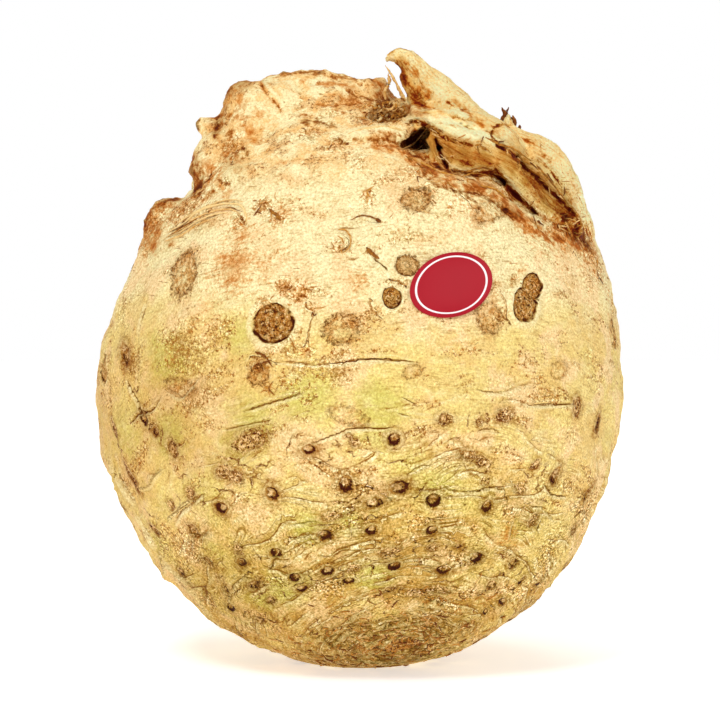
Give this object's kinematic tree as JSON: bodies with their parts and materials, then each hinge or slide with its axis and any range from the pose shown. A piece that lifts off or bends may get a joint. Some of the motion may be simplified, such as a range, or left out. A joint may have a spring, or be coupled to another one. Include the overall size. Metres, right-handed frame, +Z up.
{
  "type": "celeriac root",
  "caption": "Whole trimmed celeriac root resting on its leaf end, with knuckled root stubs on top and a small blank paper label on its skin.",
  "frame": {"origin": "centre of the small flat spot the root rests on", "axes": "+Z up, along the root's length from its leaf end to its root end; -Y is the front, the side with the label; +X to the right"},
  "size_m": [0.122, 0.117, 0.1427],
  "materials": {
    "celeriac_skin": "matte",
    "label_paper": "satin"
  },
  "bodies": {
    "root": {"celeriac_root": "celeriac_skin", "produce_label": "label_paper"}
  },
  "joints": []
}
